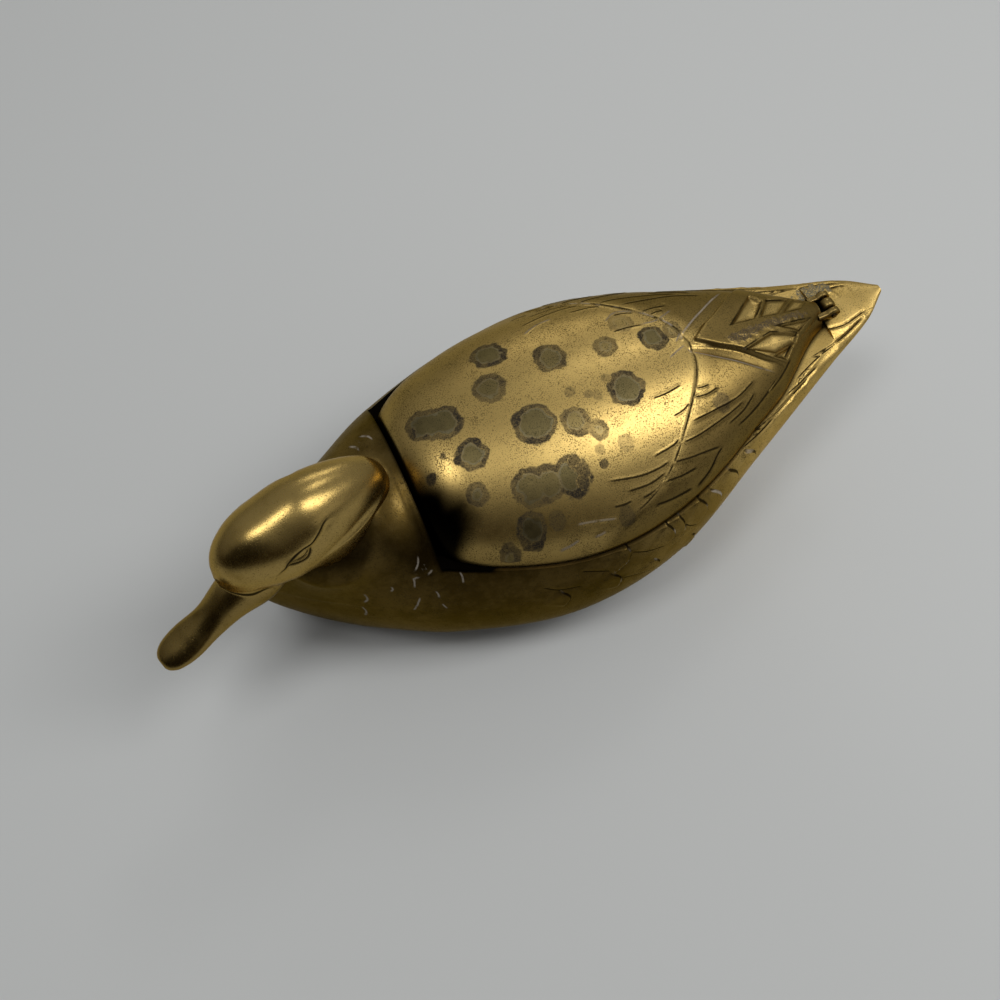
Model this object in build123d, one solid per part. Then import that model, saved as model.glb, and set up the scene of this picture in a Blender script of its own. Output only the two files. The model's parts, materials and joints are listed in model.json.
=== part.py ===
from build123d import *
import math
import os

# Cast brass duck that is a box: the back and folded wings are a lid, hinged on the tail.
# Millimetres. The flat base lies on z = 0, the head points to -X and the tail to +X.

# Body casting
body_length = 209.5
body_width = 92.0
back_height = 70.0
breast_front = -90.7
base_drop = 5.0
body_wall = 3.0
base_thickness = 3.5
cape_from_breast = 49.4
cavity_from_breast = 9.4
cavity_from_tail = 35.6

# Lines plan of the body: share of its length from the breast to the tail tip, share of its
# half width, then shares of the back height for the widest line and for the top line
BODY_LINES = (
    (0.000, 0.050, 0.385, 0.490),
    (0.012, 0.120, 0.385, 0.580),
    (0.040, 0.225, 0.380, 0.680),
    (0.083, 0.370, 0.370, 0.755),
    (0.145, 0.560, 0.360, 0.830),
    (0.236, 0.785, 0.350, 0.930),
    (0.405, 1.000, 0.357, 0.993),
    (0.573, 0.945, 0.450, 0.980),
    (0.740, 0.620, 0.590, 0.885),
    (0.883, 0.325, 0.700, 0.775),
    (0.959, 0.170, 0.743, 0.766),
    (1.000, 0.030, 0.755, 0.767),
)
breast_rise_end_share = 0.13
tail_rise_start_share = 0.64
breast_lift_share = 0.33
tail_lift_share = 0.740

# Lid casting
lid_wall = 2.8
lid_inset = 0.6
lid_skirt = 4.0
lid_front_gap = 1.7
lid_front_round = 14.0
lid_front_width_share = 0.72
lid_front_height_share = 0.62
lid_tail_gap = 3.8
lid_tail_margin = 1.5
lid_tail_taper = 25.0
seam_gap = 0.3
seam_points = 7
hollow_from_tail = 37.7
LID_FRONT_STEPS = (0, 0.04, 0.15, 0.35, 0.65, 1.0)
lid_even_slices = 14

# Seam and crown of the lid: share of the body's length, share of the back height
SEAM_LINE = (
    (0.200, 0.757),
    (0.450, 0.668),
    (0.620, 0.695),
    (0.790, 0.745),
    (0.920, 0.752),
)
CROWN_LINE = (
    (0.230, 1.010),
    (0.400, 1.028),
    (0.573, 1.003),
    (0.690, 0.962),
    (0.810, 0.890),
    (0.920, 0.806),
)

# Carving of the lid, in shares of the body's length and of its half width as seen from above.
# The wings lie lower than the mantle and the bed of the tail coverts lies lower still; towards
# the tail both come back up to the plain dome.
wing_drop = 0.6
bed_drop = 1.4
MANTLE_EDGE = (
    (0.664, 0.000),
    (0.659, 0.130),
    (0.644, 0.260),
    (0.612, 0.435),
    (0.581, 0.587),
    (0.550, 0.696),
    (0.509, 0.772),
    (0.442, 0.850),
    (0.380, 1.000),
)
COVERT_BED = (
    (0.672, 0.000),
    (0.700, 0.085),
    (0.724, 0.140),
    (0.756, 0.230),
    (0.786, 0.300),
    (0.815, 0.205),
    (0.858, 0.105),
    (0.882, 0.045),
)
# Raised rib along a wing's inner edge
WING_RIB = (
    (0.664, 0.030),
    (0.700, 0.085),
    (0.724, 0.140),
    (0.756, 0.230),
    (0.780, 0.283),
    (0.768, 0.325),
    (0.746, 0.285),
    (0.714, 0.194),
    (0.684, 0.141),
    (0.662, 0.098),
)
# Coverts standing in the bed: three on the duck's right, two on its left
COVERTS = (
    ((0.736, 0.017), (0.773, 0.013), (0.801, 0.122), (0.791, 0.196)),
    ((0.783, 0.011), (0.812, 0.004), (0.848, 0.100), (0.811, 0.126)),
    ((0.821, 0.000), (0.853, 0.004), (0.870, 0.052), (0.854, 0.085)),
    ((0.735, -0.163), (0.784, -0.111), (0.824, -0.150), (0.815, -0.189), (0.777, -0.228)),
    ((0.772, -0.246), (0.808, -0.204), (0.789, -0.272)),
)

# Hinge on the tail
hinge_from_tail = 20.1
knuckle_radius = 2.2
lug_width = 3.6
ear_width = 2.0
ear_drop = 2.0
knuckle_gap = 0.3
pin_radius = 0.9
running_clearance = 0.05
tight_clearance = 0.02
pin_end = 0.5
tail_clearance = 0.4

# Head casting: its line leaves the body's line by head_turn, towards the duck's left
head_turn = 16.0
head_from_breast = 18.4
head_y = -6.6
neck_rise = 17.0
# From nape to brow: distance along the head's line, half width, half height, lift of the middle
HEAD_LINES = (
    (-28.4, 3.0, 4.5, -6.0),
    (-25.2, 6.2, 8.2, -4.6),
    (-16.0, 9.4, 11.8, -2.0),
    (-4.0, 11.3, 14.0, 0.0),
    (8.0, 11.8, 13.6, -0.4),
    (17.0, 10.2, 11.0, -0.6),
    (22.5, 7.6, 8.2, -3.2),
    (25.2, 4.2, 4.6, -4.8),
)
# The same from inside the face to the tip of the bill
BILL_LINES = (
    (1.0, 6.4, 7.4, -3.6),
    (8.0, 7.2, 8.2, -6.8),
    (15.0, 7.5, 8.5, -9.8),
    (24.0, 5.9, 6.4, -12.2),
    (31.5, 5.0, 4.6, -16.0),
    (39.0, 5.5, 3.5, -18.0),
    (44.2, 4.8, 2.7, -19.0),
    (46.8, 3.2, 1.8, -19.4),
    (47.8, 1.8, 1.0, -19.6),
)
# From inside the chest to inside the head: lift, middle on the head's line, half length, half width
NECK_LINES = (
    (-26.0, -14.0, 17.0, 17.0),
    (-18.0, -13.0, 15.8, 14.0),
    (-10.0, -12.0, 14.5, 11.5),
    (-2.0, -10.0, 12.5, 9.5),
)

# Limits of cutting solids, well outside the duck
beyond = 200.0


def fair(lines, column, share):
    """Cubic through one column of a lines plan, with slopes taken from the neighbours."""
    places = [line[0] for line in lines]
    values = [line[column] for line in lines]
    last = len(lines) - 1
    slopes = []
    for i in range(last + 1):
        before = max(i - 1, 0)
        after = min(i + 1, last)
        slopes.append((values[after] - values[before]) / (places[after] - places[before]))
    i = 0
    while i < last - 1 and share > places[i + 1]:
        i += 1
    span = places[i + 1] - places[i]
    t = (share - places[i]) / span
    start = values[i] * (1 + 2 * t) * (1 - t) ** 2 + slopes[i] * span * t * (1 - t) ** 2
    return start + values[i + 1] * t * t * (3 - 2 * t) + slopes[i + 1] * span * t * t * (t - 1)


def x_at(share):
    return breast_front + share * body_length


def share_at(x):
    return (x - breast_front) / body_length


def belly(share):
    """Height of the belly line: a keel below the base that sweeps up to breast and tail."""
    if share < breast_rise_end_share:
        rise = ((breast_rise_end_share - share) / breast_rise_end_share) ** 2
        return rise * (breast_lift_share * back_height + base_drop) - base_drop
    if share > tail_rise_start_share:
        turn = math.pi * (share - tail_rise_start_share) / (1 - tail_rise_start_share)
        rise = (1 - math.cos(turn)) / 2
        return rise * (tail_lift_share * back_height + base_drop) - base_drop
    return -base_drop


def body_form(share):
    """Half width, widest height, top and belly of the body at a share of its length."""
    half_width = fair(BODY_LINES, 1, share) * body_width / 2
    widest = fair(BODY_LINES, 2, share) * back_height
    top = fair(BODY_LINES, 3, share) * back_height
    return half_width, widest, top, belly(share)


def seam_height(x):
    return fair(SEAM_LINE, 1, share_at(x)) * back_height


def crown_height(x):
    return fair(CROWN_LINE, 1, share_at(x)) * back_height


def rim_half_width(x):
    """Half width of the body where the seam cuts it."""
    half_width, widest, top, low = body_form(share_at(x))
    level = (seam_height(x) - widest) / (top - widest)
    return half_width * math.sqrt(1 - level * level)


def cross_face(x, half_width, widest, top, low):
    """Face across the duck at x: a half ellipse above its widest line and another below."""
    plane = Plane(origin=(x, 0, widest), x_dir=(0, 1, 0), z_dir=(1, 0, 0))
    upper = EllipticalCenterArc((0, 0), half_width, top - widest, 0, arc_size=180)
    lower = EllipticalCenterArc((0, 0), half_width, widest - low, 180, arc_size=180)
    return plane * make_face([upper, lower])


def above(solid, height):
    return split(solid, Plane.XY.offset(height), keep=Keep.TOP)


def outer_body():
    """Closed outer form of the body, breast to tail, cut flat at the base."""
    slices = [cross_face(x_at(line[0]), *body_form(line[0])) for line in BODY_LINES]
    return above(loft(slices), 0)


def body_cavity():
    """Inside of the body, one wall thickness in from the outer form, with a flat floor."""
    front = cavity_from_breast / body_length
    rear = 1 - cavity_from_tail / body_length
    shares = [front]
    shares += [line[0] for line in BODY_LINES if front < line[0] < rear]
    shares += [rear]
    slices = []
    for share in shares:
        half_width, widest, top, low = body_form(share)
        slices.append(
            cross_face(x_at(share), half_width - body_wall, widest, top - body_wall, low + body_wall)
        )
    return above(loft(slices), base_thickness)


def lid_bay(lift):
    """Everything above the seam between the cape's edge and the hinge, lifted by lift."""
    front = cape_edge
    rear = hinge_x - knuckle_radius
    points = []
    for i in range(seam_points):
        x = front + (rear - front) * i / (seam_points - 1)
        points.append((x, seam_height(x) + lift))
    seam = Spline(points)
    lid_sky = Polyline(points[-1], (rear, beyond), (front, beyond), points[0])
    side_view = Plane.XZ * make_face([seam, lid_sky])
    return extrude(side_view, beyond, both=True)


def drawn_in(x):
    """Share by which the lid's end at the hinge is drawn in to the width of the hinge."""
    return max((x - lid_tail_end) / lid_tail_taper + 1, 0) ** 2


def lid_form(x, inset):
    """Half width, widest height, top and low of the lid at x, drawn in at both its ends."""
    reach = min(max((x - lid_front) / lid_front_round, 0), 1)
    rounding = math.sqrt(1 - (1 - reach) ** 2)
    width_share = lid_front_width_share + (1 - lid_front_width_share) * rounding
    height_share = lid_front_height_share + (1 - lid_front_height_share) * rounding
    half_width = (rim_half_width(x) - lid_inset) * width_share * (1 - drawn_in(x))
    half_width += lid_tail_half_width * drawn_in(x) - inset
    widest = seam_height(x) - lid_skirt
    height = (crown_height(x) - seam_height(x)) * height_share + lid_skirt - inset
    return half_width, widest, widest + height, widest - height


def lid_slices(front, rear):
    """Places of the lid's slices, close at the rounded front and even behind it."""
    slices = [front + lid_front_round * step for step in LID_FRONT_STEPS]
    start = slices[-1]
    spacing = (rear - start) / lid_even_slices
    return slices + [start + spacing * (step + 1) for step in range(lid_even_slices)]


def lid_solid(front, rear, inset):
    """Closed dome of the lid, drawn in all round by inset."""
    return loft([cross_face(x, *lid_form(x, inset)) for x in lid_slices(front, rear)])


def lowered_dome(drop):
    """The lid's dome lowered by drop, and coming back up towards the tail."""
    slices = []
    for x in lid_slices(lid_front, lid_tail_end):
        slices.append(cross_face(x, *lid_form(x, drop * (1 - drawn_in(x)))))
    return loft(slices)


def upright(outline):
    """Prism over an outline seen from above, given in shares of length and half width."""
    points = [(x_at(share), width_share * body_width / 2) for share, width_share in outline]
    return extrude(make_face(Polyline(points, close=True)), beyond)


def on_side(line, side):
    return [(share, side * width_share) for share, width_share in line]


def both_sides(line):
    """A line that starts on the duck's middle, led on to its mirror image."""
    return on_side(reversed(line), 1) + on_side(line[1:], -1)


def wing_carving():
    """Metal over the wings, behind the mantle's edge and beside the ribs."""
    wings = upright(both_sides(MANTLE_EDGE) + [(1, -1), (1, 1)])
    wings -= upright(on_side(WING_RIB, 1))
    wings -= upright(on_side(WING_RIB, -1))
    return wings - lowered_dome(wing_drop)


def bed_carving():
    """Metal over the bed of the coverts, round the coverts that stand in it."""
    bed = upright(on_side(COVERT_BED, 1) + on_side(reversed(COVERT_BED), -1)[:-1])
    for covert in COVERTS:
        bed -= upright(covert)
    return bed - lowered_dome(bed_drop)


def lid():
    """Dome above the seam, carved on its back and hollowed from below."""
    outer = lid_solid(lid_front, lid_tail_end, 0)
    hollow = lid_solid(lid_front + lid_wall, x_at(1) - hollow_from_tail, lid_wall)
    plain = (outer & lid_bay(seam_gap)) - hollow
    return plain - wing_carving() - bed_carving()


def on_head_line(distance, lift):
    turn = math.radians(head_turn)
    x = head_x - distance * math.cos(turn)
    y = head_y - distance * math.sin(turn)
    return x, y, head_z + lift


def head_slice(distance, half_width, half_height, lift):
    turn = math.radians(head_turn)
    plane = Plane(
        origin=on_head_line(distance, lift),
        x_dir=(math.sin(turn), -math.cos(turn), 0),
        z_dir=(-math.cos(turn), -math.sin(turn), 0),
    )
    return plane * Ellipse(half_width, half_height)


def neck_slice(lift, distance, half_length, half_width):
    plane = Plane(origin=on_head_line(distance, lift), z_dir=(0, 0, 1))
    return plane * Rot(0, 0, head_turn) * Ellipse(half_length, half_width)


def head(body_outside):
    """Skull, bill and neck in one casting, seated on the outside of the chest."""
    skull = loft([head_slice(*line) for line in HEAD_LINES])
    bill = loft([head_slice(*line) for line in BILL_LINES])
    neck = loft([neck_slice(*line) for line in NECK_LINES])
    return skull + bill + neck - body_outside


def barrel(radius, start, end):
    """Round bar along the hinge axis from one y to another."""
    middle = (start + end) / 2
    return Pos(hinge_x, middle, hinge_z) * Rot(90, 0, 0) * Cylinder(radius, end - start)


def block(x_range, y_range, z_range):
    middle = [(low + high) / 2 for low, high in (x_range, y_range, z_range)]
    size = [high - low for low, high in (x_range, y_range, z_range)]
    return Pos(*middle) * Box(*size)


def lug(body_outside):
    """Middle knuckle with a foot that follows the top of the tail."""
    y_range = (-lug_width / 2, lug_width / 2)
    x_range = (hinge_x - knuckle_radius, hinge_x + knuckle_radius)
    foot = block(x_range, y_range, (hinge_z - 2 * knuckle_radius, hinge_z))
    bore = barrel(pin_radius + running_clearance, *y_range)
    return barrel(knuckle_radius, *y_range) + foot - bore - body_outside


def ear(side):
    """Knuckle on the lid's rear end, its square heel the stop against the tail."""
    inner = lug_width / 2 + knuckle_gap
    y_range = sorted((side * inner, side * (inner + ear_width)))
    web = block((lid_tail_end, hinge_x), y_range, (hinge_z - ear_drop, hinge_z + knuckle_radius))
    heel = block((hinge_x, hinge_x + knuckle_radius), y_range, (hinge_z, hinge_z + knuckle_radius))
    bore = barrel(pin_radius + tight_clearance, *y_range)
    return barrel(knuckle_radius, *y_range) + web + heel - bore


def pin():
    reach = lug_width / 2 + knuckle_gap + ear_width + pin_end
    return barrel(pin_radius, -reach, reach)


cape_edge = breast_front + cape_from_breast
lid_front = cape_edge + lid_front_gap
hinge_x = x_at(1) - hinge_from_tail
lid_tail_end = hinge_x - lid_tail_gap
lid_tail_half_width = lug_width / 2 + knuckle_gap + ear_width + lid_tail_margin
head_x = breast_front + head_from_breast
head_z = body_form(share_at(head_x))[2] + neck_rise
hinge_z = body_form(share_at(hinge_x))[2] + tail_clearance + knuckle_radius
body_outside = outer_body()
pieces = {
    "body_shell": body_outside - body_cavity() - lid_bay(0),
    "head": head(body_outside),
    "lid": lid(),
    "hinge_lug": lug(body_outside),
    "left_hinge_ear": ear(-1),
    "right_hinge_ear": ear(1),
    "hinge_pin": pin(),
}

os.makedirs("parts", exist_ok=True)
for name, solid in pieces.items():
    print(name, solid.is_valid, len(solid.solids()), round(solid.volume))
    export_step(solid, f"parts/{name}.step")
print("hinge axis", hinge_x, round(hinge_z, 3))
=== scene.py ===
# %% [markdown]
# # A brass duck that is a box
# The real object is a hollow brass casting of a resting duck. Its back with the folded wings is a
# lid that swings on a small hinge at the tail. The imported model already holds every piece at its
# real size and place, so this lesson gives those pieces what a caster, a chaser with small punches
# and many years on a shelf gave the real one: feathers, a worn polish and dark tarnish rings.

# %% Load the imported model
import json
import bmesh
import bpy
import numpy as np
from mathutils import Matrix, Vector

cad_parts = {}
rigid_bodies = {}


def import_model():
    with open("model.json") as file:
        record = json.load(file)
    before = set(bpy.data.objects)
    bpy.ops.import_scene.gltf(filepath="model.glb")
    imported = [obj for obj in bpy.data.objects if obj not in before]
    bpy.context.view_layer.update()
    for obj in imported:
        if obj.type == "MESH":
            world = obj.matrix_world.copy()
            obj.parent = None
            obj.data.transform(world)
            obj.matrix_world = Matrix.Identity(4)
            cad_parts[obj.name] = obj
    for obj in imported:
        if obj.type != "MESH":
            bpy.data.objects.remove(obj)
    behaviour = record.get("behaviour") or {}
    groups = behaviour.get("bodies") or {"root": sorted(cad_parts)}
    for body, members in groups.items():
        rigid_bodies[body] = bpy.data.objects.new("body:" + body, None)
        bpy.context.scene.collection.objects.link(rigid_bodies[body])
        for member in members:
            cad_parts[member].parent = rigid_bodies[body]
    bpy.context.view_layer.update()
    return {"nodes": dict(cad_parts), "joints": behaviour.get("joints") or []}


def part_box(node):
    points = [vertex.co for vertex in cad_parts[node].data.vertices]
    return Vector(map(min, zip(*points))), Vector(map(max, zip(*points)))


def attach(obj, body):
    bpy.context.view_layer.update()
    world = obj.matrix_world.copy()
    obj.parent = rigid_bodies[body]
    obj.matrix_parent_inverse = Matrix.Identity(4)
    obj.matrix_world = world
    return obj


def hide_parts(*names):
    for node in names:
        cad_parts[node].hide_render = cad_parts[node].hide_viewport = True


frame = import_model()
MM = 0.001
print("nodes:", sorted(frame["nodes"]))

# %% [markdown]
# ## The lines plan
# A boat builder draws a hull as a few stations along its length and lets a springy batten run
# through them. The duck is drawn the same way. Each row below is one station, and `fair` is the
# batten: a cubic through the stations whose slope at each one is the slope between its neighbours.
# Sculpting by hand would also do, but a plan keeps lid, body and hollow exactly on one another.

# %% Fair curves through stations
def fair(lines, column, place):
    """Cubic through one column of a plan; the slope at a station is that between its neighbours."""
    plan = np.array(lines, float)
    stations, values = plan[:, 0], plan[:, column]
    order = np.arange(len(stations))
    before, after = np.maximum(order - 1, 0), np.minimum(order + 1, len(order) - 1)
    slopes = (values[after] - values[before]) / (stations[after] - stations[before])
    i = np.clip(np.searchsorted(stations, place) - 1, 0, len(order) - 2)
    span = stations[i + 1] - stations[i]
    t = (place - stations[i]) / span
    start = values[i] * (1 + 2 * t) * (1 - t) ** 2 + slopes[i] * span * t * (1 - t) ** 2
    return start + values[i + 1] * t * t * (3 - 2 * t) + slopes[i + 1] * span * t * t * (t - 1)


# Body: share of its length, of its half width, and of its back height for widest line and top line
BODY_LINES = (
    (0.000, 0.050, 0.385, 0.490),
    (0.012, 0.120, 0.385, 0.580),
    (0.040, 0.225, 0.380, 0.680),
    (0.083, 0.370, 0.370, 0.755),
    (0.145, 0.560, 0.360, 0.830),
    (0.236, 0.785, 0.350, 0.930),
    (0.405, 1.000, 0.357, 0.993),
    (0.573, 0.945, 0.450, 0.980),
    (0.740, 0.620, 0.590, 0.885),
    (0.883, 0.325, 0.700, 0.775),
    (0.959, 0.170, 0.743, 0.766),
    (1.000, 0.030, 0.755, 0.767),
)
# Lid: share of the body's length, share of the back height
SEAM_LINE = ((0.200, 0.757), (0.450, 0.668), (0.620, 0.695), (0.790, 0.745), (0.920, 0.752))
CROWN_LINE = (
    (0.230, 1.010), (0.400, 1.028), (0.573, 1.003), (0.690, 0.962), (0.810, 0.890), (0.920, 0.806),
)

body_low, body_high = (np.array(corner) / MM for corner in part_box("body_shell"))
lid_low, lid_high = (np.array(corner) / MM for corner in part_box("lid"))
hinge_x, _, hinge_z = np.array(frame["joints"][0]["pos_m"]) / MM
breast_front = body_low[0]
body_length = body_high[0] - body_low[0]
lid_front, lid_tail_end = lid_low[0], lid_high[0]
half_beam = 46.0
back_height = 70.0
base_drop = 5.0
print(f"body {body_length:.1f} mm long, lid from {lid_front:.1f} to {lid_tail_end:.1f} mm")

# %% [markdown]
# ## Sections of body and lid
# Every cross section of the body is two half ellipses, a tall one above the widest line and
# another below it. The lid is an ellipse too, whose widest line hides a little below the seam, so
# that its sides lean in and never rub on the rim.

# %% Section sizes along the duck
# Shares of the body's length where the keel starts to rise, and of its height that it rises by
breast_end, tail_start = 0.13, 0.64
breast_lift, tail_lift = 0.33, 0.74


def share_at(x):
    """Place along the duck as a share of the body's length, from the breast on."""
    return (x - breast_front) / body_length


def belly(share):
    """Keel below the base, rising as a square to the breast and as a cosine wave to the tail."""
    curl = np.clip((breast_end - share) / breast_end, 0, 1) ** 2
    breast = curl * (breast_lift * back_height + base_drop)
    sweep = np.clip((share - tail_start) / (1 - tail_start), 0, 1)
    tail = (1 - np.cos(np.pi * sweep)) / 2 * (tail_lift * back_height + base_drop)
    return breast + tail - base_drop


def body_form(x):
    """Half width, widest height, top and belly of the body at x."""
    share = share_at(x)
    half_width = fair(BODY_LINES, 1, share) * half_beam
    widest, top = (fair(BODY_LINES, column, share) * back_height for column in (2, 3))
    return half_width, widest, top, belly(share)


def seam_height(x):
    """Height of the faired seam at x."""
    return fair(SEAM_LINE, 1, share_at(x)) * back_height


# %% The lid's own sizes
lid_front_round = 14.0
lid_front_width, lid_front_height = 0.84, 0.62
lid_inset = 0.6
lid_skirt = 4.0
lid_taper = 25.0
lid_tail_half = 5.6
seam_gap = 0.3


def drawn_in(x):
    """Share by which the lid narrows to the hinge, growing as a square over its taper."""
    return np.clip((x - lid_tail_end) / lid_taper + 1, 0, 1) ** 2


def lid_form(x):
    """Half width, widest height and rise of the lid at x, drawn in at the front and at the tail."""
    half_width, widest, top, low = body_form(x)
    seam = seam_height(x)
    rim = half_width * np.sqrt(1 - ((seam - widest) / (top - widest)) ** 2)
    reach = np.clip((x - lid_front) / lid_front_round, 0, 1)
    rounding = np.sqrt(1 - (1 - reach) ** 2)
    full = lid_front_width + (1 - lid_front_width) * rounding
    half = (rim - lid_inset) * full * (1 - drawn_in(x)) + lid_tail_half * drawn_in(x)
    crown = fair(CROWN_LINE, 1, share_at(x)) * back_height
    tall = lid_front_height + (1 - lid_front_height) * rounding
    return half, seam - lid_skirt, (crown - seam) * tall + lid_skirt


widest_lid = lid_form(np.linspace(lid_front, lid_tail_end, 200))[0].max()
print(f"lid up to {2 * widest_lid:.1f} mm wide, body {2 * half_beam:.1f} mm")


# %% [markdown]
# ## From arrays to a mesh
# numpy hands over whole sheets of points. A sheet has rows along the duck and columns across it,
# so its faces are the same little square of four corners, repeated. Sheets that share an edge are
# joined by merging the points that coincide, which leaves a closed skin with no gaps.

# %% Mesh helpers
def sheet_faces(rows, columns, first=0, wrap=False):
    """Corner numbers of a grid's squares, row by row; wrap joins the last column to the first."""
    across = columns if wrap else columns - 1
    r, c = np.meshgrid(np.arange(rows - 1), np.arange(across), indexing="ij")
    right = (c + 1) % columns
    here, below = r * columns, (r + 1) * columns
    corners = np.stack([here + c, here + right, below + right, below + c], -1)
    return corners.reshape(-1, 4) + first


def make_piece(name, points, faces, sharp=60.0, raw_from=None):
    """Object at the origin from points in millimetres; faces from raw_from on are raw metal."""
    mesh = bpy.data.meshes.new(name)
    mesh.from_pydata(points * MM, [], faces.tolist())
    for _ in ("finish", "raw_finish"):
        mesh.materials.append(None)
    raw = np.arange(len(faces)) >= (len(faces) if raw_from is None else raw_from)
    mesh.polygons.foreach_set("material_index", raw.astype(np.int32))
    piece = bpy.data.objects.new(name, mesh)
    bpy.context.collection.objects.link(piece)
    weld(mesh, sharp)
    return piece


def make_tube(name, grid, sharp=60.0, raw_from=None):
    """Piece from a grid of points whose last column joins its first."""
    faces = sheet_faces(*grid.shape[:2], wrap=True)
    return make_piece(name, grid.reshape(-1, 3), faces, sharp, raw_from)


def weld(mesh, sharp):
    """Points that coincide become one, faces turn outwards, and steep edges stay sharp."""
    work = bmesh.new()
    work.from_mesh(mesh)
    bmesh.ops.remove_doubles(work, verts=work.verts, dist=0.01 * MM)
    bmesh.ops.dissolve_degenerate(work, edges=work.edges, dist=0.005 * MM)
    bmesh.ops.recalc_face_normals(work, faces=work.faces)
    work.to_mesh(mesh)
    work.free()
    mesh.shade_smooth()
    mesh.set_sharp_from_angle(angle=np.radians(sharp))


def places(piece):
    """Point coordinates of a piece in millimetres, one column each."""
    mesh = piece.data
    flat = np.empty(len(mesh.vertices) * 3, np.float32)
    mesh.vertices.foreach_get("co", flat)
    return (flat.reshape(-1, 3) / MM).astype(float).T


# %% Layers of paint, normals and closed ends
def paint(piece, **layers):
    """One number per point under each name, for the finishes to read; what isn't painted is 0."""
    for name, values in layers.items():
        layer = piece.data.attributes.new(name, "FLOAT", "POINT")
        layer.data.foreach_set("value", np.clip(values, 0, 1).astype(np.float32))


def paint_lines(piece, line, share=1.0):
    """Signed distance to the nearest stroke, four millimetres wide, its fade and its paleness."""
    paint(piece, line=0.5 + line[1] / 4, line_fade=line[2] * share, line_pale=line[3])


def grid_normals(points):
    """Unit normals of a grid of points from the cross product of its two directions."""
    along, across = np.gradient(points, axis=0), np.gradient(points, axis=1)
    normal = np.cross(along, across)
    return normal / np.maximum(np.linalg.norm(normal, axis=-1, keepdims=True), 1e-9)


def outward_normals(tube):
    """Normals of a tube's grid, turned away from the middle of each row."""
    normal = grid_normals(tube)
    return normal * np.sign((normal * (tube - tube.mean(1, keepdims=True))).sum(-1, keepdims=True))


def with_poles(rows):
    """Grid with a pole added at each end, in the middle of its first and of its last row."""
    poles = [np.broadcast_to(rows[i].mean(0), rows[i].shape)[None] for i in (0, -1)]
    return np.concatenate([poles[0], rows, poles[1]])


# %% [markdown]
# ## The chaser's tools
# Feathers on cast brass are cut with a liner, which leaves a groove, and a punch, which leaves one
# side of it higher. Both work here on the distance from a point to a drawn curve. That distance is
# kept as a stroke as well, so that the finish can later fill the line with dirt or with chalk. Bump
# mapping could fake it, but real grooves catch the light at every angle and survive in the mesh.

# %% Distance to a drawn curve
def drawn(points, count=30):
    """Points along a fair curve through the given ones."""
    numbered = [(i, *point) for i, point in enumerate(points)]
    steps = np.linspace(0, len(points) - 1, count)
    return np.stack([fair(numbered, 1, steps), fair(numbered, 2, steps)], -1)


def from_curve(points, a, b):
    """Distance of places (a, b) to the curve, share of its length, and which side they lie on."""
    line = drawn(points)
    best, along, side = np.full(a.shape, 1e9), np.zeros(a.shape), np.zeros(a.shape)
    for i in range(len(line) - 1):
        step = line[i + 1] - line[i]
        da, db = a - line[i, 0], b - line[i, 1]
        t = np.clip((da * step[0] + db * step[1]) / (step @ step), 0, 1)
        gap = np.hypot(da - t * step[0], db - t * step[1])
        nearer = gap < best
        best = np.where(nearer, gap, best)
        along = np.where(nearer, (i + t) / (len(line) - 1), along)
        side = np.where(nearer, np.sign(step[0] * db - step[1] * da), side)
    return best, along, side


def ease(value):
    """Smooth step from 0 to 1 as the value goes from 0 to 1."""
    t = np.clip(value, 0, 1)
    return t * t * (3 - 2 * t)


# %% Strokes, grooves, and a ripple for worn edges
def stroke(signed, fade, pale=0.0):
    """A drawn line as four layers: distance, signed distance, fade and how pale its filling is."""
    gap = np.abs(signed)
    return np.stack(np.broadcast_arrays(gap, signed, fade * ease((1.6 - gap) / 0.8), pale))


def nearest(*strokes):
    """Of several strokes the nearest at each place, faded out where two are about as near."""
    stack = np.stack(strokes)
    gaps = stack[:, 0] + 3.0 * (stack[:, 2] < 0.02)
    chosen = np.take_along_axis(stack, gaps.argmin(0)[None, None], 0)[0]
    if len(strokes) > 1:
        first, second = np.partition(gaps, 1, axis=0)[:2]
        chosen[2] *= ease((second - first) / 0.5)
    return chosen


def engrave(curves, a, b, depth, shoulder=0.0, pale=0.0, width=0.42, reach=2.5):
    """Grooves along curves: change of height, and strokes; shoulder raises a curve's left side."""
    height, lines = np.zeros(a.shape), []
    for curve in curves:
        gap, along, side = from_curve(curve, a, b)
        ends = ease(along / 0.12) * ease((1 - along) / 0.12)
        lip = np.exp(-gap / reach) * ease(side * gap / width + 0.5)
        height += (shoulder * lip - depth * np.exp(-((gap / width) ** 2))) * ends
        lines.append(stroke(gap * side, ends, pale))
    return height, nearest(*lines)


def ripple(seed, size, *axes):
    """Soft noise between -1 and 1: eight waves of about the given size in seeded directions."""
    random = np.random.default_rng(seed)
    total = np.zeros(np.shape(axes[0]))
    for _ in range(8):
        heading = random.normal(size=len(axes))
        heading *= 2 * np.pi / size * random.uniform(0.6, 1.6) / np.linalg.norm(heading)
        total += np.sin(sum(h * axis for h, axis in zip(heading, axes)) + random.uniform(0, 6.28))
    return total / 3.0


# %% [markdown]
# ## The lid's feathers
# From above the lid shows a smooth mantle over the front two thirds, whose rear edge is a shallow
# W. Behind it lie the wing feathers, a raised rib along each wing's inner edge and, between the
# ribs, a sunk bed of small pointed tail coverts. The curves are given on the plan, x along the
# duck and w away from its middle, so one list serves both wings.

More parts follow.
